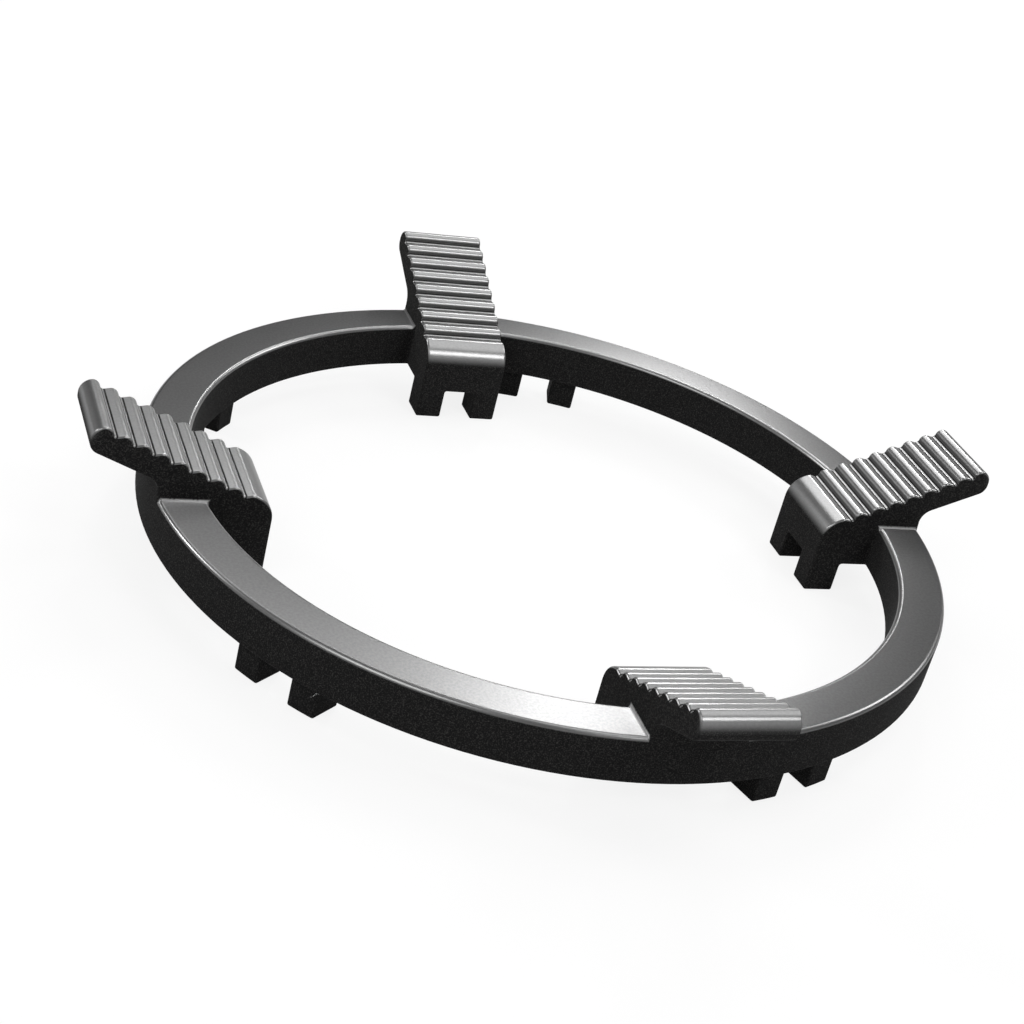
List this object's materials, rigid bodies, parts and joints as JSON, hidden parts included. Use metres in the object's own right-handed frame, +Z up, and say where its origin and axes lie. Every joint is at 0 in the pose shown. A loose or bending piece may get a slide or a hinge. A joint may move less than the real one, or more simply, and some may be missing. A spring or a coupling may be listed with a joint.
{
  "type": "wok ring",
  "caption": "Cast-iron wok ring: a flat ring with sloping ribbed supports for a wok, and slotted claws below that sit on the arms of a gas hob's pan stand.",
  "frame": {"origin": "on the ring's axis, in the plane that the claws and lugs stand on", "axes": "+Z up along the ring's axis; +X along the support that has no lugs under its part of the ring"},
  "size_m": [0.2432, 0.2432, 0.0392],
  "materials": {
    "casting": "satin black with a fine cast grain"
  },
  "bodies": {
    "root": {"wok_ring": "casting"}
  },
  "joints": []
}
